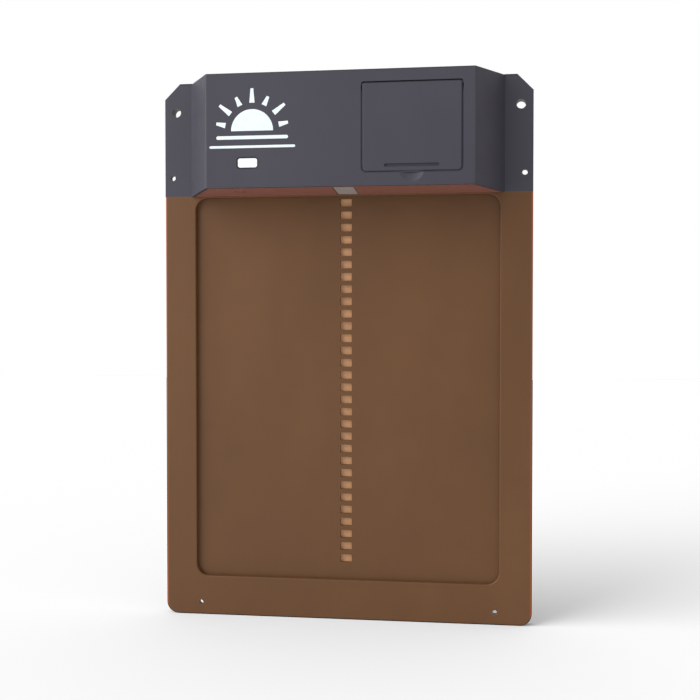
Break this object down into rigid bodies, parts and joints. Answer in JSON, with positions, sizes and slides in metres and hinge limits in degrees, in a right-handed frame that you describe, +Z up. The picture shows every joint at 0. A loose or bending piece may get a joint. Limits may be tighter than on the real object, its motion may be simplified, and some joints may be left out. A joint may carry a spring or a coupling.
{
  "type": "automatic coop door",
  "caption": "Wall-mounted automatic poultry door: a frame with a sliding gate that a motor in the head lifts through a rack and pinion.",
  "frame": {"origin": "middle of the bottom edge of the back face", "axes": "+Z up along the gate's travel, -Y out of the front, +X to the right seen from the front"},
  "size_m": [0.24, 0.0374, 0.35],
  "materials": {
    "frame_plastic": "satin moulded plastic, warm brown",
    "gate_plastic": "satin moulded plastic, warm brown",
    "rack_strip": "light tan plastic",
    "head_plastic": "satin moulded plastic, slate grey",
    "battery_cover_plastic": "satin moulded plastic, slate grey",
    "window_white": "translucent white",
    "seal_rubber": "matte",
    "inner_plastic": "moulded",
    "gear_plastic": "natural acetal",
    "guard_plastic": "light grey-brown",
    "steel": "zinc plated",
    "bronze": "sintered",
    "contact_metal": "nickel plated",
    "copper": "copper",
    "magnet": "ferrite",
    "cell_wrap": "printed sleeve, plain",
    "board_green": "solder mask",
    "chip_black": "moulded epoxy",
    "connector_white": "nylon",
    "sensor_clear": "clear epoxy",
    "led_green": "tinted epoxy",
    "button_rubber": "silicone, brown",
    "lead_insulation": "PVC"
  },
  "bodies": {
    "housing": {"base_frame": "frame_plastic", "battery_cell_1": "cell_wrap", "battery_cell_2": "cell_wrap", "battery_cell_3": "cell_wrap", "battery_cell_4": "cell_wrap", "battery_contacts": "contact_metal", "battery_holder": "inner_plastic", "battery_leads": "lead_insulation", "battery_springs": "contact_metal", "board_capacitor": "chip_black", "board_screws": "steel", "button_switch": "chip_black", "control_chip": "chip_black", "cover_screws": "steel", "gear_guard": "guard_plastic", "gearbox_case": "inner_plastic", "gearbox_lid": "inner_plastic", "gearbox_screws": "steel", "head_cover": "head_plastic", "lead_connectors": "connector_white", "left_rail": "frame_plastic", "light_sensor": "sensor_clear", "lower_idler_shaft": "steel", "main_board": "board_green", "motor_can": "steel", "motor_end_cap": "inner_plastic", "motor_leads": "lead_insulation", "motor_magnets": "magnet", "motor_terminals": "contact_metal", "rail_screws": "steel", "rear_bridge": "frame_plastic", "right_rail": "frame_plastic", "sensor_window": "window_white", "shaft_bushings": "bronze", "status_led": "led_green", "upper_idler_shaft": "steel"},
    "gate": {"gate_panel": "gate_plastic", "rack_backing": "rack_strip"},
    "drive": {"drive_pinion": "gear_plastic", "drive_shaft": "steel", "output_gear": "gear_plastic"},
    "lower_gear": {"lower_compound_gear": "gear_plastic"},
    "upper_gear": {"upper_compound_gear": "gear_plastic"},
    "rotor": {"motor_shaft": "steel", "motor_pinion": "bronze", "armature": "magnet", "commutator": "copper"},
    "battery_door": {"battery_cover": "battery_cover_plastic", "battery_seal": "seal_rubber"},
    "button": {"manual_button": "button_rubber"}
  },
  "joints": [
    {"name": "gate_slide", "type": "slide", "parent": "housing", "child": "gate", "axis": [0, 0, 1], "range_m": [0, 0.25]},
    {"name": "drive_spin", "type": "hinge", "parent": "housing", "child": "drive", "pos_m": [0, -0.01683, 0.295], "axis": [1, 0, 0], "range_deg": [0, 1127.12]},
    {"name": "lower_gear_spin", "type": "hinge", "parent": "housing", "child": "lower_gear", "pos_m": [0, -0.022, 0.30758], "axis": [1, 0, 0], "range_deg": [-2703.7, 0]},
    {"name": "upper_gear_spin", "type": "hinge", "parent": "housing", "child": "upper_gear", "pos_m": [0, -0.022, 0.32018], "axis": [1, 0, 0], "range_deg": [0, 8649.64]},
    {"name": "rotor_spin", "type": "hinge", "parent": "housing", "child": "rotor", "pos_m": [0, -0.022, 0.33268], "axis": [1, 0, 0], "range_deg": [-34595.56, 0]},
    {"name": "battery_door_hinge", "type": "hinge", "parent": "housing", "child": "battery_door", "pos_m": [0.0457, -0.036, 0.3406], "axis": [-1, 0, 0], "range_deg": [0, 75]},
    {"name": "button_press", "type": "slide", "parent": "housing", "child": "button", "axis": [0, 0, 1], "range_m": [0, 0.001], "stiffness_N_per_m": 300, "springref_m": -0.0005}
  ],
  "couplings": [
    {"joint": "drive_spin", "follows": "gate_slide", "rad_per_m": 78.54},
    {"joint": "lower_gear_spin", "follows": "gate_slide", "rad_per_m": -188.5},
    {"joint": "upper_gear_spin", "follows": "gate_slide", "rad_per_m": 603.19},
    {"joint": "rotor_spin", "follows": "gate_slide", "rad_per_m": -2412.7}
  ]
}
